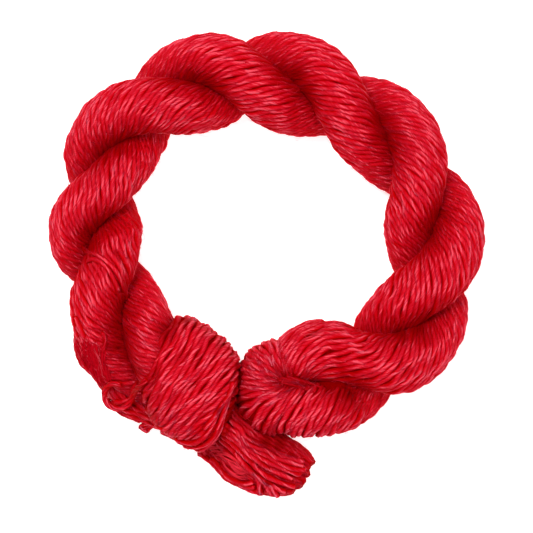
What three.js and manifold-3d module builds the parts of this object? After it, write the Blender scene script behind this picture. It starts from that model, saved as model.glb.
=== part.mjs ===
// A skein of red wool yarn. The hank is twisted, doubled on itself into a two-lobed rope, and the
// rope is bent round into a ring. A band of the hank's own turns grips the rope's far end, and the
// gripped end sticks out below as a flat tail of looped yarn. The skein lies on a table.
// Millimetres, +Z up. The origin is on the table, under the middle of the skein's box.
import * as THREE from "three";
import { mergeVertices } from "three/addons/utils/BufferGeometryUtils.js";
import Module from "manifold-3d";

const wasm = await Module();
wasm.setup();

const YARN = 2.05; // diameter of the yarn
const PRESS = 1.5; // how far each lobe reaches past the rope's axis, into the other lobe
const SETTLE = 0.8; // how far the skein's weight flattens it where it touches the table
const LOBE_SIDES = 14; // corners of a lobe's section
const STEPS_PER_ROW = 4; // sections between two rows of a table
const YARN_SIDES = 8; // corners of a single yarn's section
const YARN_STEP = 1.5; // a yarn's sections, in diameters from one to the next
const UP = new THREE.Vector3(0, 0, 1);

// The rope's axis from above, clockwise from the knot round to the knot. turn counts the half
// turns of the lobes: lobe A lies on top at each even number and lobe B at each odd one. half is
// half of a lobe's width along the rope's surface, and reach is how far it stands off the axis.
const ROPE = [
  { x: -21.8, y: -46.4, turn: -1.0, half: 9.5, reach: 14.5 },
  { x: -32.7, y: -40.2, turn: -0.88, half: 10.0, reach: 15.0 },
  { x: -43.3, y: -29.7, turn: -0.7, half: 10.8, reach: 16.3 },
  { x: -50.1, y: -16.5, turn: -0.42, half: 11.2, reach: 16.5 },
  { x: -54.2, y: -2.7, turn: 0.0, half: 11.1, reach: 15.9 },
  { x: -58.2, y: 10.7, turn: 0.5, half: 11.0, reach: 16.3 },
  { x: -56.4, y: 24.6, turn: 1.0, half: 10.8, reach: 15.6 },
  { x: -51.5, y: 41.9, turn: 1.56, half: 10.9, reach: 16.1 },
  { x: -40.0, y: 53.8, turn: 2.0, half: 11.0, reach: 16.1 },
  { x: -24.7, y: 61.4, turn: 2.46, half: 11.6, reach: 16.6 },
  { x: -8.3, y: 64.1, turn: 3.0, half: 12.1, reach: 17.1 },
  { x: 9.4, y: 62.0, turn: 3.5, half: 11.8, reach: 17.5 },
  { x: 25.4, y: 55.1, turn: 4.0, half: 11.4, reach: 16.8 },
  { x: 41.3, y: 44.7, turn: 4.54, half: 11.0, reach: 16.4 },
  { x: 51.8, y: 30.1, turn: 5.0, half: 10.8, reach: 16.1 },
  { x: 57.4, y: 12.6, turn: 5.54, half: 11.4, reach: 17.1 },
  { x: 56.3, y: -4.6, turn: 6.0, half: 12.1, reach: 17.2 },
  { x: 49.9, y: -20.8, turn: 6.5, half: 12.4, reach: 17.5 },
  { x: 37.3, y: -32.6, turn: 7.0, half: 12.6, reach: 18.2 },
  { x: 24.3, y: -37.3, turn: 7.5, half: 12.4, reach: 19.3 },
];

// Past the last row both lobes run on and sink into the rounded end of the rope, A outside and B
// inside. wide and high are half of a section's size.
const END_A = [
  { x: 19.4, y: -48.0, z: 17.6, wide: 10.1, high: 12.2 },
  { x: 11.8, y: -49.2, z: 16.6, wide: 9.6, high: 12.0 },
  { x: 3.6, y: -48.4, z: 15.6, wide: 8.2, high: 10.4 },
  { x: -2.4, y: -45.0, z: 15.0, wide: 5.6, high: 8.0 },
];
const END_B = [
  { x: 20.6, y: -28.2, z: 18.0, wide: 10.2, high: 12.3 },
  { x: 13.8, y: -29.6, z: 17.2, wide: 9.8, high: 12.0 },
  { x: 5.6, y: -35.4, z: 15.8, wide: 8.2, high: 10.4 },
  { x: -0.8, y: -39.8, z: 15.0, wide: 5.6, high: 8.0 },
];

// Loose bundles that run out of the knot, each from its hidden end to its free one.
const TAIL_TOP = [
  { x: -19.0, y: -46.0, z: 12.2, wide: 6.6, high: 8.6 },
  { x: -11.0, y: -55.2, z: 12.4, wide: 7.0, high: 8.4 },
  { x: -1.4, y: -61.4, z: 11.6, wide: 7.6, high: 8.0 },
  { x: 6.8, y: -65.4, z: 10.4, wide: 6.2, high: 7.4 },
  { x: 13.0, y: -68.6, z: 9.4, wide: 4.6, high: 5.8 },
];
const TAIL_MIDDLE = [
  { x: -20.0, y: -53.0, z: 8.2, wide: 6.6, high: 7.2 },
  { x: -10.0, y: -64.0, z: 8.4, wide: 6.4, high: 7.0 },
  { x: 1.0, y: -70.6, z: 8.2, wide: 5.8, high: 6.6 },
  { x: 11.0, y: -73.8, z: 7.8, wide: 3.6, high: 5.4 },
];
const TAIL_UNDER = [
  { x: -23.6, y: -54.5, z: 5.6, wide: 5.0, high: 6.0 },
  { x: -16.4, y: -64.0, z: 6.0, wide: 5.4, high: 6.2 },
  { x: -7.2, y: -71.4, z: 6.0, wide: 5.2, high: 6.2 },
  { x: 1.6, y: -75.4, z: 6.0, wide: 4.6, high: 6.2 },
  { x: 7.4, y: -76.2, z: 6.0, wide: 3.6, high: 5.8 },
];
const OUTER_TURNS = [
  { x: -62.2, y: -18.0, z: 10.4, wide: 3.4, high: 5.6 },
  { x: -61.6, y: -28.0, z: 8.6, wide: 4.7, high: 6.8 },
  { x: -56.8, y: -36.0, z: 7.0, wide: 4.3, high: 7.0 },
  { x: -50.6, y: -43.8, z: 6.6, wide: 4.4, high: 7.0 },
  { x: -43.4, y: -49.4, z: 6.6, wide: 4.4, high: 7.0 },
  { x: -34.0, y: -53.2, z: 6.4, wide: 4.2, high: 6.8 },
  { x: -27.0, y: -56.6, z: 6.4, wide: 4.0, high: 6.8 },
];

// Two squared balls: the rounded end of the rope, and the fat barrel that the turns of the hank's
// open end make round the other end. long is half a ball's size along its bearing, across and
// high are its other halves, and lean slides it sideways along its length.
const ROPE_END = {
  x: 2.6,
  y: -41.6,
  z: 14.8,
  bearing: 0,
  long: 13.4,
  across: 16.6,
  high: 14.6,
  lean: 0.1,
  squareness: 2.2,
};
const BAND = {
  x: -25.3,
  y: -39.9,
  z: 17.4,
  bearing: THREE.MathUtils.degToRad(54), // the way its turns run, from +X
  long: 18.8,
  across: 16.6,
  high: 18.0,
  lean: 0.27,
  squareness: 3.2,
};

// The one loose end that shows. It hangs down from the band and curls over on the outer turns.
const LOOSE_END = [
  [-39.4, -37.6, 32.6],
  [-40.6, -38.8, 31.9],
  [-41.9, -40.0, 30.1],
  [-43.0, -41.0, 27.4],
  [-43.9, -42.0, 24.4],
  [-44.7, -43.3, 21.6],
  [-45.5, -44.9, 19.3],
  [-46.5, -46.5, 17.5],
  [-47.9, -48.0, 16.1],
  [-49.8, -49.0, 14.8],
  [-51.9, -49.1, 13.9],
  [-53.8, -48.1, 13.4],
  [-55.1, -46.3, 13.6],
  [-55.4, -44.1, 14.6],
  [-54.7, -42.0, 16.3],
  [-53.0, -40.5, 18.6],
  [-50.9, -40.0, 20.1],
  [-48.8, -40.3, 21.2],
];

const WOOL = new THREE.MeshStandardMaterial({ color: 0xc8162b, roughness: 0.85, metalness: 0 });

// A smooth curve through the named columns of a table, three columns to a curve.
function columns(rows, a, b, c) {
  const points = rows.map((row) => new THREE.Vector3(row[a], row[b], row[c]));
  return new THREE.CatmullRomCurve3(points, false, "catmullrom", 0.5);
}

// Even steps from 0 to 1 along a table's curves.
function steps(rows) {
  const count = (rows.length - 1) * STEPS_PER_ROW;
  return Array.from({ length: count + 1 }, (_, i) => i / count);
}

// The sections of one lobe of the rope: side is 0 for lobe A and 1 for lobe B.
function lobeSections(side) {
  const path = columns(ROPE, "x", "y", "turn");
  const sizes = columns(ROPE, "half", "reach", "turn");
  return steps(ROPE).map((t) => {
    const { x, y, z: turn } = path.getPoint(t);
    const { x: half, y: reach } = sizes.getPoint(t);
    const along = path.getTangent(t).setZ(0).normalize();
    const outward = new THREE.Vector3(-along.y, along.x, 0);
    const angle = Math.PI * (0.5 + turn + side);
    const radial = outward.clone().multiplyScalar(Math.cos(angle));
    radial.addScaledVector(UP, Math.sin(angle));
    const centre = new THREE.Vector3(x, y, reach - SETTLE);
    centre.addScaledVector(radial, (reach - PRESS) / 2);
    const tangential = new THREE.Vector3().crossVectors(along, radial);
    return {
      centre,
      first: radial.multiplyScalar((reach + PRESS) / 2),
      second: tangential.multiplyScalar(half),
    };
  });
}

// The sections of a bundle whose rows give its centre and half sizes.
// Turned half round, it carries on from lobe B, whose sections start on the rope's inner side.
function bundleSections(rows, turnedRound = false) {
  const path = columns(rows, "x", "y", "z");
  const sizes = columns(rows, "wide", "high", "high");
  const sign = turnedRound ? -1 : 1;
  return steps(rows).map((t) => {
    const along = path.getTangent(t);
    const left = new THREE.Vector3().crossVectors(UP, along).normalize();
    const upward = new THREE.Vector3().crossVectors(along, left).normalize();
    const { x: wide, y: high } = sizes.getPoint(t);
    return {
      centre: path.getPoint(t),
      first: left.multiplyScalar(sign * wide),
      second: upward.multiplyScalar(sign * high),
    };
  });
}

// Rounds off a bundle's last section: two smaller ones and, from skin(), the tip.
function roundedEnd(sections) {
  const [before, last] = sections.slice(-2);
  const ahead = last.centre.clone().sub(before.centre).normalize();
  const depth = last.first.length() * 0.8;
  const caps = [0.5, 0.85].map((share) => {
    const shrink = Math.sqrt(1 - share * share);
    return {
      centre: last.centre.clone().addScaledVector(ahead, depth * share),
      first: last.first.clone().multiplyScalar(shrink),
      second: last.second.clone().multiplyScalar(shrink),
    };
  });
  return [...sections, ...caps];
}

// A closed skin over a run of elliptical sections.
function skin(sections) {
  const positions = [];
  const index = [];
  const put = (p) => positions.push(p.x, p.y, p.z);
  sections.forEach(({ centre, first, second }) => {
    for (let i = 0; i < LOBE_SIDES; i++) {
      const a = (2 * Math.PI * i) / LOBE_SIDES;
      const p = centre.clone().addScaledVector(first, Math.cos(a));
      put(p.addScaledVector(second, Math.sin(a)));
    }
  });
  for (let s = 0; s + 1 < sections.length; s++) {
    for (let i = 0; i < LOBE_SIDES; i++) {
      const a = s * LOBE_SIDES + i;
      const b = s * LOBE_SIDES + ((i + 1) % LOBE_SIDES);
      index.push(a, b, a + LOBE_SIDES, b, b + LOBE_SIDES, a + LOBE_SIDES);
    }
  }
  const start = positions.length / 3;
  put(sections[0].centre);
  put(sections.at(-1).centre);
  const lastRing = (sections.length - 1) * LOBE_SIDES;
  for (let i = 0; i < LOBE_SIDES; i++) {
    const next = (i + 1) % LOBE_SIDES;
    index.push(start, next, i);
    index.push(start + 1, lastRing + i, lastRing + next);
  }
  const geometry = new THREE.BufferGeometry();
  geometry.setAttribute("position", new THREE.Float32BufferAttribute(positions, 3));
  geometry.setIndex(index);
  return geometry;
}

// A ball with its poles above and below: 2 is the squareness of an ellipsoid, more is boxier.
function ballGeometry({ x, y, z, bearing, long, across, high, lean, squareness }) {
  const ball = new THREE.SphereGeometry(1, 26, 14).rotateX(Math.PI / 2);
  const place = ball.getAttribute("position");
  const direction = new THREE.Vector3();
  for (let i = 0; i < place.count; i++) {
    direction.fromBufferAttribute(place, i);
    const powers = direction.toArray().map((v) => Math.abs(v) ** squareness);
    const sum = powers.reduce((all, one) => all + one, 0);
    direction.multiplyScalar(sum ** (-1 / squareness));
    direction.multiply(new THREE.Vector3(long, across, high));
    place.setXYZ(i, direction.x, direction.y + lean * direction.x, direction.z);
  }
  return ball.rotateZ(bearing).translate(x, y, z);
}

// A yarn as one tube along its points.
function yarnGeometry(points) {
  const route = new THREE.CatmullRomCurve3(points.map((p) => new THREE.Vector3(...p)));
  const round = new THREE.Shape().absarc(0, 0, YARN / 2, 0, 2 * Math.PI);
  const settings = {
    extrudePath: route,
    steps: Math.round(route.getLength() / (YARN_STEP * YARN)),
    curveSegments: YARN_SIDES,
    bevelEnabled: false,
  };
  return new THREE.ExtrudeGeometry(round, settings);
}

// Joining and cutting need closed solids whose corners are shared.
function toSolid(geometry) {
  const bare = geometry.clone();
  bare.deleteAttribute("normal");
  bare.deleteAttribute("uv");
  const merged = mergeVertices(bare, 1e-4);
  const vertProperties = new Float32Array(merged.getAttribute("position").array);
  const triVerts = new Uint32Array(merged.index.array);
  return new wasm.Manifold(new wasm.Mesh({ numProp: 3, vertProperties, triVerts }));
}

function toGeometry(solid) {
  const { vertProperties, triVerts } = solid.getMesh();
  const geometry = new THREE.BufferGeometry();
  geometry.setAttribute("position", new THREE.BufferAttribute(vertProperties, 3));
  geometry.setIndex(new THREE.BufferAttribute(triVerts, 1));
  return geometry;
}

// The whole wound body as one solid, cut off flat at the table.
function skeinGeometry() {
  const bundles = [TAIL_TOP, TAIL_MIDDLE, TAIL_UNDER, OUTER_TURNS];
  const runs = [
    skin([...lobeSections(0), ...bundleSections(END_A)]),
    skin([...lobeSections(1), ...bundleSections(END_B, true)]),
    ballGeometry(ROPE_END),
    ballGeometry(BAND),
    ...bundles.map((rows) => skin(roundedEnd(bundleSections(rows)))),
  ];
  const body = runs.map(toSolid).reduce((all, one) => all.add(one));
  const table = new THREE.BoxGeometry(300, 300, 20).translate(0, 0, -10);
  return toGeometry(body.subtract(toSolid(table)));
}

const skein = new THREE.Group();
const addPiece = (name, geometry) => {
  const mesh = new THREE.Mesh(geometry, WOOL);
  mesh.name = name;
  skein.add(mesh);
};
addPiece("skein", skeinGeometry());
addPiece("loose_end", yarnGeometry(LOOSE_END));

export default skein;
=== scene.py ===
import math

import bmesh
import bpy
import numpy as np
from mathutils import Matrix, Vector
from mathutils.bvhtree import BVHTree


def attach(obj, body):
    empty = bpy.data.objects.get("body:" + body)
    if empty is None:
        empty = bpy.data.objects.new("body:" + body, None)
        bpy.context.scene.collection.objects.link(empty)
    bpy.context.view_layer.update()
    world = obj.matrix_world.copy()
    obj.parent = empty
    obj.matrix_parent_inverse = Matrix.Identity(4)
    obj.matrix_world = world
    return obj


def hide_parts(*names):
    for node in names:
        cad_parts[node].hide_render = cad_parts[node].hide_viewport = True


# The frame: the wound body and the loose end as plain solids, in metres, on the table at z = 0.
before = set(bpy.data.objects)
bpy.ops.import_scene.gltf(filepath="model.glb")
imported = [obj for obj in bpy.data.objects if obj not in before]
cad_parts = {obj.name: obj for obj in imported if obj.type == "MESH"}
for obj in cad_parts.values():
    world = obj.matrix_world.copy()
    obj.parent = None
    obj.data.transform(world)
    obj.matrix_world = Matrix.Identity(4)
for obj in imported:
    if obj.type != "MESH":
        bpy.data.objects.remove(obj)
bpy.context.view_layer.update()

# The wound body. A few dozen turns of one plied yarn, wound into a hank, are twisted and doubled
# on themselves into a rope of two lobes, bent round into a ring. Under the outermost turns that
# show there are only more turns, so a plain body fills the rope.
MM = 0.001
YARN = 1.85  # mm, the yarn's diameter where its turns press on each other
FILLER_DEPTH = 1.15  # mm, how deep the inner turns start

filler_mesh = bpy.data.objects["skein"].data.copy()
filler = bpy.data.objects.new("inner_turns", filler_mesh)
bpy.context.collection.objects.link(filler)
filler_bm = bmesh.new()
filler_bm.from_mesh(filler_mesh)
bmesh.ops.remove_doubles(filler_bm, verts=filler_bm.verts, dist=0.01 * MM)
filler_bm.normal_update()
for vert in filler_bm.verts:
    vert.co -= vert.normal * FILLER_DEPTH * MM
filler_bm.to_mesh(filler_mesh)
filler_bm.free()
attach(filler, "root")


class Field:
    """A socket of a material, with Python's own signs for the maths on it."""

    def __init__(self, tree, socket):
        self.tree = tree
        self.socket = socket

    def node(self, kind, settings=None, **inputs):
        """One node of this kind: settings are set first, then the inputs, by socket name."""
        made = self.tree.nodes.new(kind)
        for key, value in (settings or {}).items():
            if key == "stops":
                ramp = made.color_ramp
                while len(ramp.elements) < len(value):
                    ramp.elements.new(1)
                for element, (place, colour) in zip(ramp.elements, value):
                    element.position = place
                    element.color = (*colour, 1)
            else:
                setattr(made, key, value)
        for key, value in inputs.items():
            name = key.replace("_", " ")
            places = [s for s in made.inputs if s.enabled and s.name in (name, name.title())]
            self.feed(places[0], value)
        return [Field(self.tree, s) for s in made.outputs if s.enabled]

    def feed(self, place, value):
        if isinstance(value, Field):
            self.tree.links.new(value.socket, place)
        else:
            place.default_value = value

    def maths(self, operation, *values):
        made = self.tree.nodes.new("ShaderNodeMath")
        made.operation = operation
        for place, value in zip(made.inputs, values):
            self.feed(place, value)
        return Field(self.tree, made.outputs[0])

    def __add__(self, other):
        return self.maths("ADD", self, other)

    __radd__ = __add__

    def __mul__(self, other):
        return self.maths("MULTIPLY", self, other)

    __rmul__ = __mul__

    def __sub__(self, other):
        return self.maths("SUBTRACT", self, other)

    def __rsub__(self, other):
        return self.maths("SUBTRACT", other, self)

    def mixed(self, low, high):
        """A colour between two others, by this socket's value."""
        made = self.tree.nodes.new("ShaderNodeMix")
        made.data_type = "RGBA"
        factor, first, second = (made.inputs[i] for i in (0, 6, 7))
        self.feed(factor, self)
        self.feed(first, low)
        self.feed(second, high)
        return Field(self.tree, made.outputs[2])


def dyed(name, roughness, gloss):
    """A new material of soft dyed wool, with its shader and a first field to start from."""
    material = bpy.data.materials.new(name)
    material.use_nodes = True
    shader = material.node_tree.nodes["Principled BSDF"]
    shader.inputs["Roughness"].default_value = roughness
    shader.inputs["Specular IOR Level"].default_value = gloss
    shader.inputs["Subsurface Weight"].default_value = 0.8
    shader.inputs["Subsurface Radius"].default_value = (1.0, 0.12, 0.12)
    shader.inputs["Subsurface Scale"].default_value = 1.1 * MM
    return material, shader, Field(material.node_tree, None)


CREASE_SHADE_RED = (0.235, 0.0, 0.0003)  # painted shade, deep in the creases
FLANK_SHADE_RED = (0.5, 0.0, 0.0008)  # painted shade on the yarns' flanks, between the yarns
RED = (0.58, 0.0006, 0.006)
# a weaker painted highlight, on the yarns' crowns
LIGHT_RED = (0.69, 0.01, 0.03)
BRIGHT_RED = (0.92, 0.085, 0.13)  # where a ply's crown catches the light
# The inner turns are of the same red yarn; their darker colour is painted shade, as they show only deep between the
# outer yarns.
inner_wool, inner_shader, inner = dyed("inner wool", roughness=0.9, gloss=0.0)
place = inner.node("ShaderNodeTexCoord")[3]
blotches = inner.node("ShaderNodeTexNoise", Vector=place, Scale=400.0, Detail=3.0)[0]
inner.feed(inner_shader.inputs["Base Color"], blotches.mixed((0.2, 0, 0.0003, 1), (0.34, 0, 0.0006, 1)))
filler.data.materials.clear()
filler.data.materials.append(inner_wool)

# The turns that show. Each is a yarn of two plies, twisted round each other, laid side by side
# round the rope's lobes. Every yarn keeps turning round its lobe as the hank was twisted.
PRESS = 1.5  # mm, how far each lobe reaches past the rope's axis
SETTLE = 0.8  # mm, how far the table flattens the skein
PROUD = -0.1  # mm, how far the yarns stand out of the plain solid
STEP = 0.75  # mm, between two sections of a yarn
PER_ROW = 4  # sections between two rows of a table
LOBE_YARNS = 35
LOBE_DRIFT = -1.52  # mm that a yarn moves round its lobe for each mm of the lobe
UP = np.array([0.0, 0.0, 1.0])

ROPE = [
    dict(x=-21.8, y=-46.4, turn=-1.0, half=9.5, reach=14.5),
    dict(x=-32.7, y=-40.2, turn=-0.88, half=10.0, reach=15.0),
    dict(x=-43.3, y=-29.7, turn=-0.7, half=10.8, reach=16.3),
    dict(x=-50.1, y=-16.5, turn=-0.42, half=11.2, reach=16.5),
    dict(x=-54.2, y=-2.7, turn=0.0, half=11.1, reach=15.9),
    dict(x=-58.2, y=10.7, turn=0.5, half=11.0, reach=16.3),
    dict(x=-56.4, y=24.6, turn=1.0, half=10.8, reach=15.6),
    dict(x=-51.5, y=41.9, turn=1.56, half=10.9, reach=16.1),
    dict(x=-40.0, y=53.8, turn=2.0, half=11.0, reach=16.1),
    dict(x=-24.7, y=61.4, turn=2.46, half=11.6, reach=16.6),
    dict(x=-8.3, y=64.1, turn=3.0, half=12.1, reach=17.1),
    dict(x=9.4, y=62.0, turn=3.5, half=11.8, reach=17.5),
    dict(x=25.4, y=55.1, turn=4.0, half=11.4, reach=16.8),
    dict(x=41.3, y=44.7, turn=4.54, half=11.0, reach=16.4),
    dict(x=51.8, y=30.1, turn=5.0, half=10.8, reach=16.1),
    dict(x=57.4, y=12.6, turn=5.54, half=11.4, reach=17.1),
    dict(x=56.3, y=-4.6, turn=6.0, half=12.1, reach=17.2),
    dict(x=49.9, y=-20.8, turn=6.5, half=12.4, reach=17.5),
    dict(x=37.3, y=-32.6, turn=7.0, half=12.6, reach=18.2),
    dict(x=24.3, y=-37.3, turn=7.5, half=12.4, reach=19.3),
]
END_B = [
    dict(x=20.6, y=-28.2, z=18.0, wide=10.2, high=12.3),
    dict(x=13.8, y=-29.6, z=17.2, wide=9.8, high=12.0),
    dict(x=5.2, y=-35.2, z=15.8, wide=8.4, high=10.4),
]


def lengths(vectors):
    return np.linalg.norm(vectors, axis=-1, keepdims=True)


def through(rows, *columns):
    """A smooth curve through the named columns of a table."""
    knots = np.array([[row[column] for column in columns] for row in rows])
    ends = np.vstack([2 * knots[0] - knots[1], knots, 2 * knots[-1] - knots[-2]])
    t = np.linspace(0, len(rows) - 1, (len(rows) - 1) * PER_ROW + 1)
    i = np.minimum(t.astype(int), len(rows) - 2)
    u = (t - i)[:, None]
    before, start, stop, after = (ends[i + k] for k in range(4))
    leave = (stop - before) / 2
    arrive = (after - start) / 2
    blend = u * u * (3 - 2 * u)
    return start + blend * (stop - start) + u * (u - 1) ** 2 * leave + u * u * (u - 1) * arrive


def lobe_sections(side):
    """Centre and two half axes of one lobe's sections; side is 0 for lobe A and 1 for lobe B."""
    x, y, turn = through(ROPE, "x", "y", "turn").T
    half, reach = (values[:, None] for values in through(ROPE, "half", "reach").T)
    along = np.stack([np.gradient(x), np.gradient(y), 0 * x], 1)
    along /= lengths(along)
    outward = np.stack([-along[:, 1], along[:, 0], 0 * x], 1)
    angle = math.pi * (0.5 + turn + side)[:, None]
    radial = outward * np.cos(angle) + UP * np.sin(angle)
    centre = np.stack([x, y, reach[:, 0] - SETTLE], 1) + radial * (reach - PRESS) / 2
    wall = -(reach[:, 0] - PRESS) / 2
    return centre, radial * (reach + PRESS) / 2, np.cross(along, radial) * half, wall


def bundle_sections(rows, sign=1):
    """The same for a bundle whose rows give its centre and half sizes."""
    centre = through(rows, "x", "y", "z")
    wide, high = (values[:, None] for values in through(rows, "wide", "high").T)
    along = np.gradient(centre, axis=0)
    along /= lengths(along)
    left = np.cross(UP, along)
    left /= lengths(left)
    upward = np.cross(along, left)
    return centre, sign * left * wide, sign * upward * high, 0.3 - wide[:, 0]


def joined(*runs):
    """Several runs of sections as one, with evenly spaced sections."""
    centre, first, second, wall = (np.concatenate(parts) for parts in zip(*runs))
    s = np.concatenate([[0], np.cumsum(lengths(np.diff(centre, axis=0))[:, 0])])
    even = np.linspace(0, s[-1], int(s[-1] / (0.78 * STEP)))
    spread = [np.interp(even, s, column) for part in (centre, first, second) for column in part.T]
    spread.append(np.interp(even, s, wall))
    window = np.hanning(9) / np.hanning(9).sum()
    eased = [np.convolve(np.pad(c, 4, mode="edge"), window, mode="valid") for c in spread]
    points = [np.stack(eased[k : k + 3], 1) for k in (0, 3, 6)]
    return (*points, eased[9])


def wavering(rng, s, count, size, wave=22.0):
    """For each of count yarns, a slow wander along the distance s, of about this size."""
    total = np.zeros((count, len(s)))
    for share in (1.0, 0.45):
        length = wave * share * rng.uniform(0.7, 1.5, (count, 1))
        phase = rng.uniform(0, 2 * math.pi, (count, 1))
        total += share * np.sin(2 * math.pi * s / length + phase)
    return size * total


def wound(run, count, drift, seed, loose=0.3, sink=0.0):
    """The routes of yarns that lie side by side round a run of sections. Drift may change along
    it, and sink is how deep they dive at its end."""
    centre, first, second, wall = run
    rng = np.random.default_rng(seed)
    s = np.concatenate([[0], np.cumsum(lengths(np.diff(centre, axis=0))[:, 0])])
    a, b = lengths(first), lengths(second)
    turn = np.linspace(0, 2 * math.pi, 73)
    arc = np.hypot(a * np.sin(turn), b * np.cos(turn))
    ring = np.concatenate([0 * a, np.cumsum((arc[:, 1:] + arc[:, :-1]) / 2, axis=1)], axis=1)
    perimeter = ring[:, -1] * (turn[1] - turn[0])
    laps = np.concatenate([[0], np.cumsum((drift * np.gradient(s) / perimeter)[1:])])
    places = np.arange(count)[:, None] + wavering(rng, s, count, loose * 0.5)
    share = (places / count + laps) % 1
    angle = np.stack([np.interp(share[:, i], ring[i] / ring[i, -1], turn) for i in range(len(s))], 1)
    lift = PROUD - YARN / 2 + wavering(rng, s, count, loose * 0.55) + rng.normal(0, 0.1, (count, 1))
    lift = lift - sink * np.clip(1 - (s[-1] - s) / 7, 0, 1) ** 2
    in_first = (a[:, 0] + lift) * np.cos(angle)
    in_second = (b[:, 0] + lift) * np.sin(angle)
    in_first = np.maximum(in_first, wall + YARN * 0.45)
    routes = centre + in_first[..., None] * (first / a) + in_second[..., None] * (second / b)
    routes[..., 2] = np.maximum(routes[..., 2], YARN * 0.62)
    outward = (np.cos(angle) / a[:, 0])[..., None] * (first / a)
    outward += (np.sin(angle) / b[:, 0])[..., None] * (second / b)
    outward /= lengths(outward)
    return list(np.concatenate([routes, outward, 0 * angle[..., None], 1 + 0 * angle[..., None]], axis=2))


PLY_PITCH = 21.0  # mm for a full turn of the two plies
PROFILE_SIDES = 6
PLY_BULGE = 0.12  # how far the two plies round out the yarn's section

profile_angle = np.arange(PROFILE_SIDES) * 2 * math.pi / PROFILE_SIDES
profile_reach = 1.2 + PLY_BULGE * np.cos(2 * profile_angle)
profile = bpy.data.curves.new("yarn_profile", "CURVE")
profile_spline = profile.splines.new("POLY")
profile_spline.points.add(PROFILE_SIDES - 1)
for point, turned, reach in zip(profile_spline.points, profile_angle, profile_reach):
    point.co = (math.cos(turned) * reach, math.sin(turned) * reach, 0, 1)
profile_spline.use_cyclic_u = True
profile_object = bpy.data.objects.new("yarn_profile", profile)


def evenly(route, step=STEP):
    """The same route with evenly spaced points."""
    s = np.concatenate([[0], np.cumsum(lengths(np.diff(route[:, :3], axis=0))[:, 0])])
    even = np.linspace(0, s[-1], max(4, round(s[-1] / step)))
    return np.stack([np.interp(even, s, column) for column in route.T], 1)


laid_yarns = []  # every yarn's route, for the fuzz that grows on them
HOLLOWS = [  # places of painted shade, where the yarns lie deep in a fold of the knot or the tail, out of the light
    dict(x=27.6, y=-42.8, radius=5.2, dark=0.95),
    dict(x=22.8, y=-41.8, radius=4.0, dark=0.70),
    dict(x=17.7, y=-40.7, radius=3.5, dark=0.55),
    dict(x=12.3, y=-40.4, radius=3.5, dark=0.35),
    dict(x=7.2, y=-39.0, radius=3.0, dark=0.30),
    dict(x=-34.1, y=-22.0, radius=3.6, dark=0.80),
    dict(x=-48.1, y=-22.0, radius=3.8, dark=0.90),
    dict(x=-50.5, y=-27.1, radius=4.5, dark=0.90),
    dict(x=-47.7, y=-30.2, radius=4.0, dark=0.90),
    dict(x=-44.3, y=-35.3, radius=4.0, dark=0.90),
    dict(x=-53.2, y=-37.0, radius=4.0, dark=0.35),
    dict(x=-50.8, y=-44.2, radius=2.6, dark=0.45),
    dict(x=-43.3, y=-50.6, radius=3.0, dark=0.40),
    dict(x=-37.9, y=-50.0, radius=4.0, dark=0.40),
    dict(x=-24.2, y=-56.8, radius=3.0, dark=0.35),
    dict(x=-9.9, y=-45.2, radius=2.8, dark=0.80),
    dict(x=-10.2, y=-50.0, radius=2.6, dark=0.30),
    dict(x=-15.3, y=-60.2, radius=2.6, dark=0.35),
    dict(x=1.4, y=-55.4, radius=2.6, dark=0.50),
    dict(x=-3.4, y=-58.1, radius=3.0, dark=0.60),
    dict(x=0.3, y=-59.5, radius=3.4, dark=0.95),
    dict(x=4.4, y=-60.9, radius=3.6, dark=1.00),
    dict(x=8.5, y=-62.2, radius=3.0, dark=0.70),
    dict(x=-13.6, y=-69.1, radius=3.5, dark=0.30),
    dict(x=-8.9, y=-71.1, radius=3.5, dark=0.40),
]
CREASE_DARK = 0.95  # how dark the painted shade of a crease is where the two lobes lie side by side
CREASE_SPREAD = 5.2  # mm, how far the painted shade of a crease reaches
CREASES_END = 7.3  # the turn at which the rope's rounded end begins


def crease_places():
    """Places along the creases between the lobes, seen from above, and how dark the painted shade is at each one.
    A crease runs along the edge of the upper lobe, deepest where the lobes lie side by side."""
    x, y, turn, half, reach = through(ROPE, "x", "y", "turn", "half", "reach").T
    along = np.stack([np.gradient(x), np.gradient(y)], 1)
    along /= lengths(along)
    outward = np.stack([-along[:, 1], along[:, 0]], 1)
    angle = math.pi * (0.5 + turn)
    middle = np.sign(np.sin(angle)) * np.cos(angle) * (reach - PRESS) / 2
    edge = np.hypot(np.cos(angle) * (reach + PRESS) / 2, np.sin(angle) * half)
    across = middle - np.sign(middle) * edge
    dark = CREASE_DARK * np.abs(np.cos(angle)) ** 1.5
    places = np.c_[np.stack([x, y], 1) + outward * across[:, None], dark]
    return places[turn < CREASES_END]


crease_rows = crease_places()

skin_tree = BVHTree.FromObject(bpy.data.objects["skein"], bpy.context.evaluated_depsgraph_get())
SKY_REACH = 16.0  # mm, how near the wool must be to keep light off
SKY_WAYS = [(0.0, 0.0, 1.0)]
for count, lean in ((5, 0.5), (7, 0.95), (6, 1.3)):
    for turned in np.arange(count) * 2 * math.pi / count + lean:
        flat = math.sin(lean)
        SKY_WAYS.append((flat * math.cos(turned), flat * math.sin(turned), math.cos(lean)))


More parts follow.
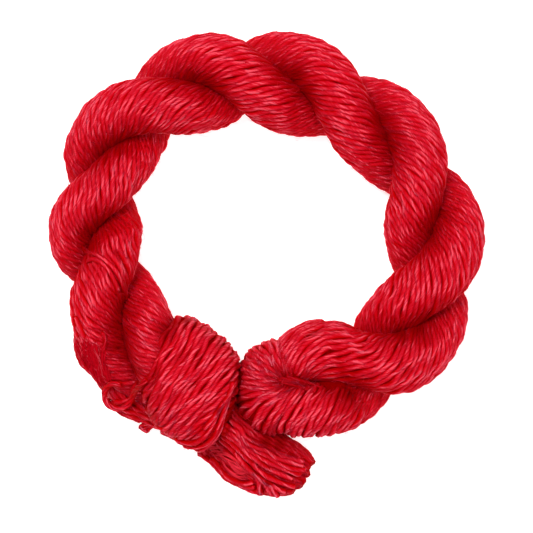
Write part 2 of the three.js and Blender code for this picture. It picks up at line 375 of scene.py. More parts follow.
def shaded(route):
    """The route, with painted shade where little light reaches it: near other wool, along the creases and in the
    hollows.
    """
    route = route.copy()
    marks = np.unique(np.r_[np.arange(0, len(route), 4), len(route) - 1])
    seen = []
    for row in route[marks]:
        normal = Vector(row[3:6])
        place = (Vector(row[:3]) + normal * 1.5) * MM
        facing = normal.to_track_quat("Z", "Y")
        hits = [skin_tree.ray_cast(place, facing @ Vector(way), SKY_REACH * MM)[0] for way in SKY_WAYS]
        seen.append(sum(hit is None for hit in hits) / len(hits))
    sky = np.interp(np.arange(len(route)), marks, seen)
    sky = np.convolve(np.pad(sky, 4, mode="edge"), np.ones(9) / 9, mode="valid")
    # painted shade where nearby wool hides the sky
    route[:, 6] = np.maximum(route[:, 6], 0.55 * np.clip((0.93 - sky) / 0.7, 0, 1) ** 1.2)
    for x, y, dark in crease_rows:
        away = np.hypot(route[:, 0] - x, route[:, 1] - y) / CREASE_SPREAD
        route[:, 6] = np.maximum(route[:, 6], dark * np.exp(-(away**2)))
    for hollow in HOLLOWS:
        away = np.hypot(route[:, 0] - hollow["x"], route[:, 1] - hollow["y"]) / hollow["radius"]
        route[:, 6] = np.maximum(route[:, 6], hollow["dark"] * np.exp(-(away**2)))
    return route


def spun(name, routes, seed, diameter=YARN):
    """One mesh of two-ply yarns along the routes, with what its material needs on its points.
    A route's columns are its place, the way out of the skein there, its painted shade and its girth."""
    rng = np.random.default_rng(seed)
    routes = [shaded(route) for route in routes]
    laid_yarns.extend(routes)
    curve = bpy.data.curves.new(name, "CURVE")
    curve.dimensions = "3D"
    curve.bevel_mode = "OBJECT"
    curve.bevel_object = profile_object
    curve.twist_mode = "MINIMUM"
    lie, groove, tint = [], [], []
    for route in routes:
        s = np.concatenate([[0], np.cumsum(lengths(np.diff(route[:, :3], axis=0))[:, 0])])
        swell = 1 + 0.05 * np.sin(s / 6 + rng.uniform(0, 6)) + rng.normal(0, 0.03)
        radius = diameter / 2 * swell * route[:, 7]
        route[:, 2] = np.maximum(route[:, 2], radius * (1.2 + PLY_BULGE) + 0.02)
        radius[[0, -1]] = 1e-6
        tilt = rng.uniform(0, 6) + 2 * math.pi * s / PLY_PITCH
        spline = curve.splines.new("POLY")
        spline.points.add(len(route) - 1)
        spline.points.foreach_set("co", np.c_[route[:, :3] * MM, np.ones(len(route))].ravel())
        spline.points.foreach_set("radius", radius * MM)
        spline.points.foreach_set("tilt", tilt)
        spline.use_smooth = True
        around = tilt[:, None] + profile_angle
        out = radius[:, None] * profile_reach
        offset = rng.uniform(0, 500)
        lie.append(np.stack([s[:, None] + offset + 0 * out, out * np.cos(around), out * np.sin(around)], 2))
        groove.append(np.tile(np.sin(profile_angle) ** 2, len(route)))
        tint.append(np.full(len(route) * PROFILE_SIDES, rng.uniform()))
    holder = bpy.data.objects.new(name, curve)
    bpy.context.collection.objects.link(holder)
    graph = bpy.context.evaluated_depsgraph_get()
    mesh = bpy.data.meshes.new_from_object(holder.evaluated_get(graph))
    bpy.data.objects.remove(holder)
    mesh.name = name
    centres = np.repeat(np.concatenate(routes), PROFILE_SIDES, axis=0)
    corners = np.empty(len(mesh.vertices) * 3, np.float32)
    mesh.vertices.foreach_get("co", corners)
    aside = corners.reshape(-1, 3) / MM - centres[:, :3]
    crown = (aside * centres[:, 3:6]).sum(1) / np.maximum(lengths(aside)[:, 0], 0.01)
    for key, kind, values in (
        ("lie", "FLOAT_VECTOR", np.concatenate([part.reshape(-1, 3) for part in lie])),
        ("groove", "FLOAT", np.concatenate(groove)),
        ("tint", "FLOAT", np.concatenate(tint)),
        ("crown", "FLOAT", crown),
        ("depth", "FLOAT", centres[:, 6]),
    ):
        layer = mesh.attributes.new(key, kind, "POINT")
        layer.data.foreach_set("vector" if kind == "FLOAT_VECTOR" else "value", values.ravel())
    bm = bmesh.new()
    bm.from_mesh(mesh)
    bmesh.ops.remove_doubles(bm, verts=bm.verts, dist=0.004 * MM)
    bmesh.ops.recalc_face_normals(bm, faces=bm.faces)
    bm.to_mesh(mesh)
    bm.free()
    piece = bpy.data.objects.new(name, mesh)
    bpy.context.collection.objects.link(piece)
    piece.data.materials.clear()
    piece.data.materials.append(wool)
    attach(piece, "root")
    return piece


wool, shader, start = dyed("plied wool", roughness=0.55, gloss=0.015)
lie = start.node("ShaderNodeAttribute", {"attribute_name": "lie"})[1]
groove, tint, crown, depth = (
    start.node("ShaderNodeAttribute", {"attribute_name": key})[2]
    for key in ("groove", "tint", "crown", "depth")
)
stretched = start.node("ShaderNodeMapping", Vector=lie, Scale=(0.3, 2.3, 2.3))[0]
fibres = start.node("ShaderNodeTexNoise", Vector=stretched, Scale=1.0, Detail=3.0)[0]
slow = start.node("ShaderNodeMapping", Vector=lie, Scale=(0.12, 0.1, 0.1))[0]
patches = start.node("ShaderNodeTexNoise", Vector=slow, Scale=1.0, Detail=2.0)[0]
# The base colour carries painted light: painted highlights on the plies' crowns, painted shade on the yarns' flanks,
# and the routes' painted shade mixes it towards the crease colour.
lit = start.maths("MAXIMUM", crown, 0.0)
shine = lit * lit * (1.12 - groove) * (fibres * 1.7 + tint * 0.3 + patches * 1.0 - 0.75) * (1.0 - depth)
shade = start.maths("MAXIMUM", 0.85 - crown, 0.0) * 0.7
tone = start.maths("MAXIMUM", shine, 0.0) * 1.1 + (fibres - 0.5) * 0.5 + 0.34 - shade
colour = start.node(
    "ShaderNodeValToRGB",
    {"stops": [(0.0, FLANK_SHADE_RED), (0.3, RED), (0.62, LIGHT_RED), (1.0, BRIGHT_RED)]},
    Fac=tone,
)[0]
start.feed(shader.inputs["Base Color"], (depth * 0.95).mixed(colour, (*CREASE_SHADE_RED, 1)))
height = fibres * 0.9 - groove * 0.6
raised = start.node("ShaderNodeBump", Height=height, Strength=0.8, Distance=0.4 * MM)[0]
start.feed(shader.inputs["Normal"], raised)

lobe_a = joined(lobe_sections(0))
lobe_b = joined(lobe_sections(1), bundle_sections(END_B, -1))
centre, first, second, wall = lobe_b
over_crease = 1.2 * np.exp(-((np.hypot(centre[:, 0] - 23, centre[:, 1] + 28) / 8) ** 2))[:, None]
way = first / lengths(first) * over_crease
lobe_b = (centre - way, first + way, second, wall - over_crease[:, 0])

across_b = np.interp(np.arange(len(lobe_b[0])), len(lobe_b[0]) - np.array([44, 28]), [LOBE_DRIFT, -0.7])
for letter, run, drift, seed in (("a", lobe_a, LOBE_DRIFT, 11), ("b", lobe_b, across_b, 23)):
    routes = wound(run, LOBE_YARNS, drift, seed, 0.36, sink=2.5)
    for half_number, part in enumerate((routes[: LOBE_YARNS // 2], routes[LOBE_YARNS // 2 :])):
        spun(f"lobe_{letter}_yarns_{half_number + 1}", part, seed + half_number)

# The rounded end of the rope and the band round its other end. Both are the hank's own turns:
# at the rounded end they run together into one pinch, and the band's turns wrap the rope.
BAND = dict(x=-25.3, y=-39.9, z=17.4, bearing=54, long=18.8, across=16.6, high=18.0, lean=0.27, squareness=3.2)


def out_to(ball, start_point, ways):
    """The points where ways from a start inside a squared ball meet its skin of yarns."""
    turned = math.radians(ball["bearing"])
    inset = PROUD - YARN / 2
    low = np.zeros((len(ways), 1))
    high = low + 60
    for _ in range(30):
        middle = (low + high) / 2
        p = start_point + ways * middle - [ball["x"], ball["y"], ball["z"]]
        u = p[:, 0] * math.cos(turned) + p[:, 1] * math.sin(turned)
        v = -p[:, 0] * math.sin(turned) + p[:, 1] * math.cos(turned) - ball["lean"] * u
        sizes = [ball[key] + inset for key in ("long", "across", "high")]
        powers = [np.abs(w / size) ** ball["squareness"] for w, size in zip((u, v, p[:, 2]), sizes)]
        outside = (sum(powers) > 1)[:, None]
        high = np.where(outside, middle, high)
        low = np.where(outside, low, middle)
    points = start_point + ways * low
    points[:, 2] = np.maximum(points[:, 2], YARN * 0.45)
    return np.c_[points, ways, np.zeros(len(points)), np.ones(len(points))]


def loop_ways(bearing, around):
    """Ways out along an upright loop: bearing in degrees, one or one for each step around it."""
    turned = np.radians(bearing + 0 * around)
    flat = np.stack([np.cos(turned), np.sin(turned), 0 * around], 1)
    return np.cos(around)[:, None] * flat + np.sin(around)[:, None] * UP


END_PLACES = (0.935, 0.96, 0.99, 0.998)  # of the small turns on the band's flat ends
rng = np.random.default_rng(5)
band_routes = []
for place in (*np.linspace(-0.98, 0.98, 23), *END_PLACES, *(-share for share in END_PLACES)):
    side = math.radians(BAND["bearing"] + 90)
    start_point = np.array([BAND["x"], BAND["y"], BAND["z"]])
    start_point = start_point + BAND["across"] * place * np.array([math.cos(side), math.sin(side), 0])
    bearing = BAND["bearing"] - 2 + 13 * place + rng.normal(0, 1.2)
    around = np.linspace(-0.5 * math.pi, 1.5 * math.pi, 120)
    route = out_to(BAND, start_point, loop_ways(bearing, around))
    s = np.linspace(0, 100, len(route))
    route[:, :3] += wavering(rng, s, 3, 0.38, 18.0).T
    band_routes.append(evenly(route))
spun("band_yarns", band_routes, 31)


def let_out(start_point, ways, inset=YARN / 2 - PROUD):
    """The route where ways from a place inside the skein reach its skin, until they leave it."""
    inside = Vector(start_point) * MM
    rows = []
    for way in ways:
        hit, normal, _, reach = skin_tree.ray_cast(inside, Vector(way))
        if hit is None or (rows and reach / MM > rows[-1][-1] + 2.0):
            break
        rows.append([*way, *normal, reach / MM])
    rows = np.array(rows)
    window = np.hanning(7) / np.hanning(7).sum()
    eased = np.stack([np.convolve(np.pad(c, 3, mode="edge"), window, mode="valid") for c in rows.T], 1)
    places = np.array(start_point) + eased[:, :3] * (eased[:, 6:] - inset)
    places[:, 2] = np.maximum(places[:, 2], YARN * 0.62)
    return np.c_[places, eased[:, 3:6] / lengths(eased[:, 3:6]), np.zeros(len(rows)), np.ones(len(rows))]


CREASE_STARTS = [
    dict(x=9.0, y=-38.6, leave=104, arrive=104, rise=92),
    dict(x=7.4, y=-39.0, leave=122, arrive=124, rise=90),
    dict(x=7.2, y=-39.2, leave=148, arrive=154, rise=90),
    dict(x=7.2, y=-39.4, leave=172, arrive=176, rise=90),
    dict(x=7.6, y=-39.6, leave=192, arrive=198, rise=90),
    dict(x=8.8, y=-39.6, leave=204, arrive=222, rise=90),
    dict(x=11.0, y=-39.5, leave=213, arrive=235, rise=90),
    dict(x=14.0, y=-39.4, leave=223, arrive=240, rise=90),
    dict(x=17.5, y=-39.5, leave=234, arrive=240, rise=92),
    dict(x=21.5, y=-39.7, leave=239, arrive=241, rise=92),
    dict(x=26.0, y=-40.3, leave=246, arrive=243, rise=90),
    dict(x=31.0, y=-41.4, leave=249, arrive=238, rise=84),
    dict(x=36.5, y=-43.4, leave=244, arrive=232, rise=76),
]
x, y, leave, arrive, rise = through(CREASE_STARTS, "x", "y", "leave", "arrive", "rise").T
end_routes = []
for x, y, leave, arrive, rise in evenly(np.c_[x, y, leave * 0.32, arrive, rise], 1.5):
    around = np.radians(np.linspace(rise - rng.uniform(0, 8), -40, 70))
    turned = np.interp(-around, [-1.5, -0.2], [leave / 0.32, arrive]) + rng.normal(0, 1.2)
    route = evenly(let_out((x, y, 12.0), loop_ways(turned, around)))
    s = np.arange(len(route)) * STEP
    route[:, :3] += wavering(rng, s, 3, 0.3, 16.0).T
    emerging = np.clip(1 - s / 6, 0, 1)
    route[:, :3] -= route[:, 3:6] * (rng.uniform(0, 0.6) * emerging**2)[:, None]
    # painted shade where the yarns come out of the crease
    route[:, 6] = 0.9 * emerging
    route[:, 7] = 1 - 0.25 * emerging
    end_routes.append(route)
spun("rope_end_yarns", end_routes, 37)

# Turns of the gripped hank that show on steep sides: above the tail, where it comes out of the
# band, and low on the rope's rounded end. They run up and down the side, next to each other.
STEEP_SIDES = [
    dict(x=-19.0, y=-61.1, z=20.5, facing=-57.5, count=7, high=19.0),
    dict(x=30.0, y=-55.2, z=17.0, facing=-75.0, count=3, high=9.0),
]
steep_routes = []
for side in STEEP_SIDES:
    facing = math.radians(side["facing"])
    middle = np.array([side["x"], side["y"], side["z"]])
    start_point = middle - 7 * np.array([math.cos(facing), math.sin(facing), 0])
    along = np.array([-math.sin(facing), math.cos(facing), 0])
    for place in (np.arange(side["count"]) - side["count"] / 2 + 0.5) * YARN * 0.95:
        upward = np.linspace(side["high"] / 2, -side["high"] / 2, 26)[:, None]
        ways = middle + along * (place + 0.12 * upward) + UP * upward - start_point
        route = evenly(let_out(start_point, ways / lengths(ways)))
        # painted shade on the steep sides
        route[:, 6] = 0.4
        steep_routes.append(route)
spun("steep_side_yarns", steep_routes, 39)

# The tail below the band, where the gripped end of the hank comes out in three flat bundles of
# looped yarn, and the slack outer turns that run beside the rope and under the band.
TAIL_TOP = [
    dict(x=-19.0, y=-46.0, z=12.2, wide=6.6, high=8.6),
    dict(x=-11.0, y=-55.2, z=12.4, wide=7.0, high=8.4),
    dict(x=-1.4, y=-61.4, z=11.6, wide=7.6, high=8.0),
    dict(x=6.8, y=-65.4, z=10.4, wide=6.2, high=7.4),
    dict(x=13.0, y=-68.6, z=9.4, wide=4.6, high=5.8),
]
TAIL_MIDDLE = [
    dict(x=-20.0, y=-53.0, z=8.2, wide=6.6, high=7.2),
    dict(x=-10.0, y=-64.0, z=8.4, wide=6.4, high=7.0),
    dict(x=1.0, y=-70.6, z=8.2, wide=5.8, high=6.6),
    dict(x=11.0, y=-73.8, z=7.8, wide=3.6, high=5.4),
]
TAIL_UNDER = [
    dict(x=-23.6, y=-54.5, z=5.6, wide=5.0, high=6.0),
    dict(x=-16.4, y=-64.0, z=6.0, wide=5.4, high=6.2),
    dict(x=-7.2, y=-71.4, z=6.0, wide=5.2, high=6.2),
    dict(x=1.6, y=-75.4, z=6.0, wide=4.6, high=6.2),
    dict(x=7.4, y=-76.2, z=6.0, wide=3.6, high=5.8),
]
OUTER_TURNS = [
    dict(x=-62.2, y=-18.0, z=10.4, wide=3.4, high=5.6),
    dict(x=-61.6, y=-28.0, z=8.6, wide=4.7, high=6.8),
    dict(x=-56.8, y=-36.0, z=7.0, wide=4.3, high=7.0),
    dict(x=-50.6, y=-43.8, z=6.6, wide=4.4, high=7.0),
    dict(x=-43.4, y=-49.4, z=6.6, wide=4.4, high=7.0),
    dict(x=-34.0, y=-53.2, z=6.4, wide=4.2, high=6.8),
    dict(x=-27.0, y=-56.6, z=6.4, wide=4.0, high=6.8),
]


def rounded(sections):
    """The sections with a round end: smaller and smaller ones past the last."""
    centre, first, second, wall = sections
    ahead = centre[-1] - centre[-2]
    ahead = ahead / lengths(ahead) * lengths(first[-1]) * 0.8
    share = np.array([0.5, 0.8])[:, None]
    shrink = np.sqrt(1 - share**2)
    caps = (centre[-1] + ahead * share, first[-1] * shrink, second[-1] * shrink, wall[-1] + 0 * share[:, 0])
    return tuple(np.concatenate([part, cap]) for part, cap in zip(sections, caps))


def looped(routes, rng):
    """Neighbouring routes joined two by two, by a loop where the yarn turns back on itself."""
    pairs = []
    for there, back in zip(routes[::2], routes[1::2]):
        cut = rng.integers(1, 6)
        there, back = there[:-cut], back[: -(cut + rng.integers(0, 2))]
        middle = (there[-1] + back[-1]) / 2
        ahead = there[-1, :3] - there[-3, :3] + back[-1, :3] - back[-3, :3]
        ahead *= np.linalg.norm(there[-1, :3] - middle[:3]) / np.linalg.norm(ahead)
        turn = np.linspace(0, math.pi, 7)[1:-1, None]
        bend = middle + (there[-1] - middle) * np.cos(turn)
        bend[:, :3] += 1.5 * ahead * np.sin(turn)
        pairs.append(np.concatenate([there, bend, back[::-1]]))
    return pairs + list(routes[len(pairs) * 2 :])


for name, rows, count, drift, loose, dark, seed in (
    ("tail_top_yarns", TAIL_TOP, 24, 0.15, 0.35, 0.4, 41),
    ("tail_middle_yarns", TAIL_MIDDLE, 20, 0.1, 0.45, 0.35, 43),
    ("tail_under_yarns", TAIL_UNDER, 18, -0.1, 0.5, 0.35, 47),
    ("outer_turns_yarns", OUTER_TURNS, 17, 0.2, 0.6, 0.3, 53),
):
    run = joined(rounded(bundle_sections(rows)))
    run = (*run[:3], run[3] - 100)
    routes = looped(wound(run, count, drift, seed, loose), np.random.default_rng(seed))
    # every route of a bundle gets the same painted shade, its dark value
    for route in routes:
        route[:, 6] = dark
    spun(name, routes, seed)

# The slack turns and strays that lie over the rest: yarns that slipped off the band, cross the
# crease beside the pinch, or curl round the knot, and a few paler fibres.
DROP = Vector((0, 0, -1))


def laid(places, lift=0.9, side_height=7.0):
    """A route over the skein: places seen from above, in mm, let down on what lies there.
    Past the skein's edge it hangs at the side height."""
    rows = [dict(x=x, y=y) for x, y in places]
    flat = evenly(through(rows, "x", "y"), 0.6)
    height, outward = [], []
    for x, y in flat:
        hit, normal, _, _ = skin_tree.ray_cast(Vector((x * MM, y * MM, 0.1)), DROP)
        height.append(side_height if hit is None else max(hit.z / MM, side_height))
        outward.append(UP if normal is None else np.array(normal))
    window = np.hanning(9) / np.hanning(9).sum()
    eased = np.convolve(np.pad(height, 4, mode="edge"), window, mode="valid") + lift
    return np.c_[flat, eased, np.array(outward), np.zeros(len(flat)), np.ones(len(flat))]


def over_wool(x, y):
    """Whether there is wool under this place."""
    return skin_tree.ray_cast(Vector((x * MM, y * MM, 0.1)), DROP)[0] is not None


PINCH_TURNS = [
    [(4.4, -37.5), (6.8, -38.2), (9.4, -39.1), (12.2, -40.2), (15.4, -41.6)],
    [(4.4, -39.0), (7.2, -39.4), (10.2, -40.2), (13.2, -41.5), (16.6, -43.1)],
    [(6.4, -37.0), (9.2, -37.9), (12.0, -38.9), (15.2, -40.1), (19.0, -41.1)],
    [(3.8, -38.2), (7.0, -38.8), (10.0, -39.6), (13.0, -40.8), (16.2, -42.2)],
]
SLIPPED_TURNS = [
    [(-12.6, -44.5), (-14.3, -48.6), (-15.7, -52.7), (-17.4, -56.8), (-20.1, -59.5), (-23.9, -60.9), (-28.0, -60.5)],
    [(-14.3, -45.2), (-16.4, -49.3), (-18.1, -53.0), (-20.1, -56.4), (-23.2, -58.8), (-26.9, -59.2), (-30.7, -58.1)],
    [(-11.6, -41.1), (-13.0, -45.9), (-14.3, -50.6), (-15.7, -55.1), (-18.1, -58.8), (-21.5, -61.6), (-25.2, -62.6)],
    [(-10.9, -38.4), (-12.3, -42.5), (-14.7, -46.5), (-17.7, -50.6), (-20.8, -54.7)],
    [(-62.1, 6.6), (-60.7, 4.6), (-57.6, 3.9), (-54.2, 2.2), (-51.2, -0.5), (-49.1, -3.9), (-47.7, -8.0), (-47.4, -11.8)],
    [(-60.0, 1.2), (-57.6, 2.2), (-54.9, 0.9), (-52.2, -1.9), (-50.5, -5.3), (-49.4, -9.0)],
    [(-40.9, -38.4), (-43.3, -39.4), (-45.0, -41.4), (-45.7, -43.8), (-47.1, -45.9), (-49.8, -46.9), (-52.5, -46.5)],
    [(-55.2, -45.9), (-53.9, -48.3), (-51.5, -50.0), (-47.7, -51.3), (-43.6, -52.7), (-39.6, -54.4), (-34.8, -56.1)],
    [(-53.9, -46.9), (-51.2, -48.6), (-47.4, -50.0), (-43.0, -51.3), (-38.9, -53.0), (-34.1, -55.1)],
    [(-36.8, -57.5), (-32.7, -59.2), (-28.6, -60.9), (-24.6, -62.6)],
    [(-65.0, -16.2), (-64.8, -19.3), (-64.1, -22.2), (-63.5, -24.6)],
    [(-64.1, -16.9), (-62.9, -19.6), (-61.8, -22.2), (-61.1, -24.6)],
    [(-55.2, -22.0), (-54.0, -24.7), (-54.4, -27.1), (-54.9, -29.3)],
    [(-39.6, -53.4), (-41.2, -54.4), (-42.8, -55.4), (-44.2, -56.6)],
    [(-44.1, -55.6), (-42.4, -56.8), (-40.4, -57.8)],
    [(-37.9, -54.1), (-39.6, -55.4), (-40.6, -56.4), (-41.4, -57.8)],
    [(-38.8, -53.6), (-40.4, -54.8), (-41.8, -56.0), (-42.8, -57.2)],
    [(-52.5, -49.0), (-50.8, -50.5), (-48.9, -51.8), (-45.2, -53.2), (-43.0, -54.0)],
]
slipped = [laid(places, 0.5) for places in SLIPPED_TURNS]
for places in PINCH_TURNS:
    route = laid(places, -0.3)
    # painted shade, so these turns fade into the crease
    route[:, 6] = 0.55
    route[:, 7] = 0.5 + 0.5 * np.sin(np.linspace(0.1, math.pi - 0.1, len(route)))
    slipped.append(route)
spun("slipped_yarns", slipped, 71, diameter=1.45)

TAIL_TURNS = [
    [(-12.8, -52.0), (-10.6, -53.7), (-8.6, -55.4), (-7.6, -57.8), (-5.7, -59.0), (-3.3, -60.0), (-0.8, -61.2), (1.8, -62.2), (4.5, -64.1), (7.5, -65.1), (11.6, -66.7), (14.3, -67.3)],
    [(-8.9, -57.5), (-6.1, -60.5), (-3.1, -62.1), (0.0, -62.9), (3.1, -65.0), (6.1, -66.2), (10.2, -67.7), (14.3, -68.5)],
    [(-14.3, -53.4), (-11.6, -55.6), (-9.9, -56.4), (-8.5, -58.5), (-6.5, -60.7), (-3.8, -62.6), (-1.4, -63.6), (0.7, -64.6), (2.6, -66.0), (5.0, -67.5), (8.7, -69.1), (11.8, -69.7), (15.0, -69.9)],
    [(-15.0, -54.7), (-12.3, -56.8), (-9.5, -58.7), (-7.2, -61.2), (-4.8, -63.1), (-1.7, -65.3), (1.0, -66.8), (4.1, -68.4), (7.5, -69.9), (10.9, -71.1), (13.6, -71.6)],
    [(-15.3, -56.3), (-12.6, -57.8), (-10.1, -59.5), (-8.2, -61.6), (-5.8, -64.1), (-3.5, -65.6), (-1.2, -67.9), (1.4, -69.6), (4.7, -71.3), (7.5, -72.6), (10.6, -73.7)],
    [(-15.3, -57.5), (-12.6, -59.5), (-10.2, -61.9), (-7.8, -64.3), (-5.5, -66.7), (-3.0, -69.6), (-0.2, -71.6), (2.6, -73.3), (6.2, -74.8), (9.2, -75.7), (11.6, -75.5)],
    [(-15.9, -58.7), (-13.7, -60.7), (-11.4, -62.9), (-9.2, -65.8), (-7.5, -67.8), (-5.7, -70.0), (-3.4, -71.8), (-0.9, -73.7), (1.7, -75.4), (4.8, -77.1), (8.2, -78.1)],
    [(-5.1, -70.4), (-3.1, -72.4), (-2.5, -74.8), (-2.2, -76.9), (-1.2, -78.8), (0.7, -80.0)],
    [(-2.7, -72.5), (-0.7, -74.5), (0.7, -76.6), (2.0, -78.6), (3.6, -80.0)],
    [(-1.4, -73.1), (1.0, -75.5), (2.7, -77.6), (4.4, -79.5), (6.5, -80.0)],
    [(-5.5, -59.2), (-2.4, -60.5), (0.7, -61.7), (3.4, -63.3), (6.1, -64.1), (9.5, -65.5), (13.0, -66.7)],
    [(-23.9, -64.8), (-21.0, -66.2), (-18.6, -68.1), (-16.5, -70.6), (-14.3, -73.0), (-11.9, -74.7), (-9.1, -75.9), (-5.9, -77.1), (-3.1, -78.1), (-0.8, -79.3), (1.1, -80.2), (3.8, -80.2)],
    [(-19.3, -66.1), (-17.1, -68.1), (-15.4, -70.6), (-13.5, -72.5), (-10.7, -74.3), (-7.6, -75.2), (-5.2, -74.6), (-3.1, -73.4)],
    [(-9.6, -75.1), (-6.7, -76.3), (-4.2, -76.1), (-2.8, -74.8)],
    [(-3.4, -76.6), (-1.4, -78.3), (0.7, -79.3)],
]
tail_turns = []
for places in TAIL_TURNS:
    route = laid(places, 0.75)
    covered = [over_wool(x, y) for x, y in route[:, :2]]
    last = len(covered) - covered[::-1].index(True)
    tail_turns.append(route[: last - 2])
spun("tail_turns", tail_turns, 73, diameter=1.75)

# The fuzz: fine fibres that stand off every yarn, and the patch beside the knot where the outer
# turns have frayed into loose wool, with a few paler fibres on it.
HAIR = 0.1  # mm, a fibre's diameter
hair_profile = bpy.data.curves.new("hair_profile", "CURVE")
hair_spline = hair_profile.splines.new("POLY")
hair_spline.points.add(2)
for point, turned in zip(hair_spline.points, (0.0, 2 * math.pi / 3, 4 * math.pi / 3)):
    point.co = (math.cos(turned), math.sin(turned), 0, 1)
hair_spline.use_cyclic_u = True
hair_object = bpy.data.objects.new("hair_profile", hair_profile)


def fibre_paint(name, dull, bright):
    """The wool of loose fibres, between two colours."""
    paint, shader, start = dyed(name, roughness=0.8, gloss=0.0)
    shader.inputs["Subsurface Weight"].default_value = 0
    grown = start.node("ShaderNodeTexCoord")[3]
    uneven = start.node("ShaderNodeTexNoise", Vector=grown, Scale=500.0, Detail=2.0)[0]
    start.feed(shader.inputs["Base Color"], uneven.mixed((*dull, 1), (*bright, 1)))
    return paint


# The fuzz is a lighter red than the yarns: a painted highlight of loose fibres catching the light.
fuzz_wool = fibre_paint("fuzz", (0.72, 0.008, 0.02), (0.9, 0.045, 0.08))
frayed_wool = fibre_paint("frayed wool", (0.44, 0.0, 0.002), (0.66, 0.004, 0.018))
pale_stray_wool = fibre_paint("pale stray wool", (0.7, 0.012, 0.03), (0.88, 0.08, 0.12))


def fibres_along(name, routes, radii, paint):
    """One mesh of fine fibres: routes are lists of places in mm, radii their half widths."""
    curve = bpy.data.curves.new(name, "CURVE")
    curve.dimensions = "3D"
    curve.bevel_mode = "OBJECT"
    curve.bevel_object = hair_object
    for route, radius in zip(routes, radii):
        spline = curve.splines.new("POLY")
        spline.points.add(len(route) - 1)
        taper = radius * np.clip(np.sin(np.linspace(0.25, math.pi - 0.1, len(route))), 0.1, 1)
        spline.points.foreach_set("co", np.c_[route * MM, np.ones(len(route))].ravel())
        spline.points.foreach_set("radius", taper * MM)
        spline.use_smooth = True
    holder = bpy.data.objects.new(name, curve)
    bpy.context.collection.objects.link(holder)
    graph = bpy.context.evaluated_depsgraph_get()
    mesh = bpy.data.meshes.new_from_object(holder.evaluated_get(graph))
    bpy.data.objects.remove(holder)
    bm = bmesh.new()
    bm.from_mesh(mesh)
    bmesh.ops.holes_fill(bm, edges=bm.edges)
    bmesh.ops.recalc_face_normals(bm, faces=bm.faces)
    bm.to_mesh(mesh)
    bm.free()
    piece = bpy.data.objects.new(name, mesh)
    bpy.context.collection.objects.link(piece)
    piece.data.materials.clear()
    piece.data.materials.append(paint)
    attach(piece, "root")
    return piece


rng = np.random.default_rng(83)
roots = np.concatenate(laid_yarns)
# the fuzz grows only where the painted shade is light and the wool lies more than 2 mm up
roots = roots[(roots[:, 6] < 0.6) & (roots[:, 2] > 2)]
for name, count, steps, low, high in (("fuzz_short", 6500, 4, 0.7, 2.0), ("fuzz_long", 1400, 6, 2.0, 5.0)):
    hairs = []
    for root in roots[rng.choice(len(roots), count, replace=False)]:
        out = root[3:6] + rng.normal(0, 0.5, 3)
        out /= np.linalg.norm(out)
        away = np.cross(out, rng.normal(0, 1, 3))
        away /= np.linalg.norm(away)
        t = np.linspace(0, 1, steps)[:, None]
        reach = rng.uniform(low, high)
        rise = rng.uniform(0.3, 1.0)
        bend = np.cross(out, away) * rng.normal(0, 0.5)
        start_point = root[:3] + out * YARN * 0.5
        hair = start_point + away * reach * t + out * rise * np.sin(2.4 * t) + bend * reach * t**2
        hair[:, 2] = np.maximum(hair[:, 2], 0.2)
        hairs.append(hair)
    fibres_along(name, hairs, rng.uniform(0.6, 1.0, count) * HAIR / 2, fuzz_wool)

FRAYED = [
    dict(x=-65.8, y=-25.0, low_x=-65.0, low_y=-36.2),
    dict(x=-63.0, y=-24.6, low_x=-61.4, low_y=-38.0),
    dict(x=-60.4, y=-24.4, low_x=-58.0, low_y=-41.0),
    dict(x=-57.8, y=-24.6, low_x=-55.6, low_y=-43.4),
    dict(x=-55.6, y=-26.0, low_x=-53.4, low_y=-43.6),
]
frayed = []
for x, y, low_x, low_y in through(FRAYED, "x", "y", "low_x", "low_y"):
    for _ in range(11):
        begin = rng.uniform(0, 0.7)
        t = np.linspace(begin, min(begin + rng.uniform(0.25, 0.7), 1), 6)
        flat = np.array([x, y]) + t[:, None] * np.array([low_x - x, low_y - y])
        flat += wavering(rng, t * 20, 2, 0.5, 10.0).T + rng.normal(0, 0.7, 2)
        flat = [(x, y) for x, y in flat if over_wool(x - 0.7, y - 0.7)]
        if len(flat) > 2:
            frayed.append(laid(flat, rng.uniform(0.3, 0.9))[:, :3])
fibres_along("frayed_wool", frayed, rng.uniform(0.12, 0.45, len(frayed)), frayed_wool)

CURLS = [
    [(-20.6, -64.4), (-20.3, -62.7), (-18.6, -62.2), (-17.2, -62.2)],
    [(-21.5, -63.3), (-21.0, -62.0), (-19.3, -61.4), (-17.5, -61.6)],
    [(-19.1, -63.9), (-17.7, -62.9), (-15.7, -62.8), (-14.5, -63.1)],
    [(-16.9, -64.6), (-14.5, -64.4), (-12.5, -65.1), (-10.6, -66.1), (-8.6, -67.8), (-6.7, -68.5)],
    [(-17.7, -65.3), (-15.0, -65.2), (-13.0, -66.2), (-10.9, -67.3), (-9.2, -69.1)],
    [(-13.7, -66.6), (-12.0, -68.5), (-10.6, -70.4), (-8.6, -71.4), (-6.7, -71.0)],
    [(-15.0, -67.0), (-13.6, -69.4), (-11.6, -71.4), (-9.2, -72.6), (-6.8, -72.5)],
    [(-22.3, -61.9), (-21.8, -64.1), (-21.0, -65.8)],
    [(-13.0, -67.3), (-10.9, -68.7), (-8.9, -69.7), (-6.8, -69.9)],
]
CURL_TOP = 14.5  # mm, the height of the tail's top, where the curls lie
curls = []
for places in CURLS:
    for _ in range(5):
        moved = np.array(places) + rng.normal(0, 0.45, 2) + rng.normal(0, 0.15, (len(places), 2))
        curl = laid([tuple(place) for place in moved], rng.uniform(0.5, 1.4))[:, :3]
        curl[:, 2] = np.minimum(curl[:, 2], CURL_TOP)
        curls.append(curl)
fibres_along("curled_fibres", curls, rng.uniform(0.1, 0.35, len(curls)), fuzz_wool)
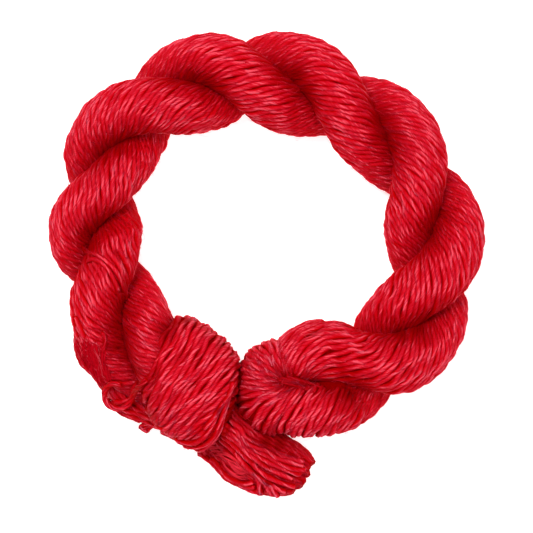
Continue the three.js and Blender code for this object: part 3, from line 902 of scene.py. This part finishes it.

# Fine fibres of a paler red than the wool they lie on.
PALE_STRAYS = [
    [(-64.6, -26.5), (-63.8, -28.8), (-62.5, -32.0)],
    [(-58.3, -28.3), (-56.6, -31.2), (-55.9, -35.2)],
    [(-57.1, -33.2), (-56.9, -39.0), (-55.9, -40.4)],
    [(-44.0, -51.0), (-41.6, -53.2), (-38.9, -53.2)],
    [(12.6, -23.0), (14.7, -22.3), (17.1, -22.7), (19.4, -22.0)],
]
pale_strays = []
for places in PALE_STRAYS:
    for _ in range(4):
        moved = np.array(places) + rng.normal(0, 0.5, 2) + rng.normal(0, 0.25, (len(places), 2))
        pale_strays.append(laid([tuple(place) for place in moved], rng.uniform(1.0, 1.4))[:, :3])
fibres_along("pale_stray_fibres", pale_strays, rng.uniform(0.05, 0.14, len(pale_strays)), pale_stray_wool)

# The loose end, the only end of the yarn that shows. It hangs down over the band's side and
# curls up on the outer turns beside it.
LOOSE_END = [
    (-39.4, -37.6, 32.6),
    (-40.6, -38.8, 31.9),
    (-41.9, -40.0, 30.1),
    (-43.0, -41.0, 27.4),
    (-43.9, -42.0, 24.4),
    (-44.7, -43.3, 21.6),
    (-45.5, -44.9, 19.3),
    (-46.5, -46.5, 17.5),
    (-47.9, -48.0, 16.1),
    (-49.8, -49.0, 14.8),
    (-51.9, -49.1, 13.9),
    (-53.8, -48.1, 13.4),
    (-55.1, -46.3, 13.6),
    (-55.4, -44.1, 14.6),
    (-54.7, -42.0, 16.3),
    (-53.0, -40.5, 18.6),
    (-50.9, -40.0, 20.1),
    (-48.8, -40.3, 21.2),
]
loose_route = evenly(through([dict(x=x, y=y, z=z) for x, y, z in LOOSE_END], "x", "y", "z"), 0.6)
along = np.gradient(loose_route, axis=0)
left = np.cross(UP, along)
left /= lengths(left)
over = np.cross(along, left)
over /= lengths(over)
plies = []
for start_turn in (0.0, 2.1, 4.2):
    turned = (start_turn + 2 * math.pi * np.arange(len(loose_route)) * 0.6 / 15)[:, None]
    way = left * np.cos(turned) + over * np.sin(turned)
    plies.append(np.c_[loose_route + way * 0.42, UP + 0 * way, 0 * turned, 1 + 0 * turned])
loose_end = spun("loose_end_yarn", plies, 61, diameter=1.04)
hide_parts("loose_end")

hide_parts("skein")

# The table and the light: a pale top, with wide soft lamps above and a little to the left.
bpy.ops.mesh.primitive_plane_add(size=6)
table = bpy.context.object
table.name = "table"
table_paint = bpy.data.materials.new("table paint")
table_paint.use_nodes = True
table_shader = table_paint.node_tree.nodes["Principled BSDF"]
table_shader.inputs["Base Color"].default_value = (0.8, 0.8, 0.8, 1)
table_shader.inputs["Roughness"].default_value = 0.9
table_shader.inputs["Emission Color"].default_value = (1, 1, 1, 1)
table_shader.inputs["Emission Strength"].default_value = 0.75
table.data.materials.append(table_paint)

world = bpy.data.worlds.new("room")
bpy.context.scene.world = world
world.use_nodes = True
world.node_tree.nodes["Background"].inputs["Color"].default_value = (1, 1, 1, 1)
world.node_tree.nodes["Background"].inputs["Strength"].default_value = 0.24

for lamp_place, size, power in (((-0.22, 0.32, 1.0), 0.45, 8.4), ((0.35, -0.3, 1.0), 0.9, 4.6)):
    lamp_data = bpy.data.lights.new("lamp", "AREA")
    lamp_data.size = size
    lamp_data.energy = power
    lamp = bpy.data.objects.new("lamp", lamp_data)
    lamp.location = lamp_place
    lamp.rotation_euler = (-Vector(lamp_place)).to_track_quat("-Z", "Y").to_euler()
    bpy.context.collection.objects.link(lamp)

# The camera looks straight down from above, as the photographer did.
FRAME_WIDTH = 181.8 * MM  # what the picture takes in, at half the skein's height
HALF_HEIGHT = 17 * MM
camera_data = bpy.data.cameras.new("camera")
camera_data.lens = 120
camera_data.sensor_width = 36
camera = bpy.data.objects.new("camera", camera_data)
distance = FRAME_WIDTH * camera_data.lens / camera_data.sensor_width
camera.location = (0.17 * MM, -0.34 * MM, HALF_HEIGHT + distance)
bpy.context.collection.objects.link(camera)
bpy.context.scene.camera = camera
bpy.context.scene.view_settings.view_transform = "Standard"
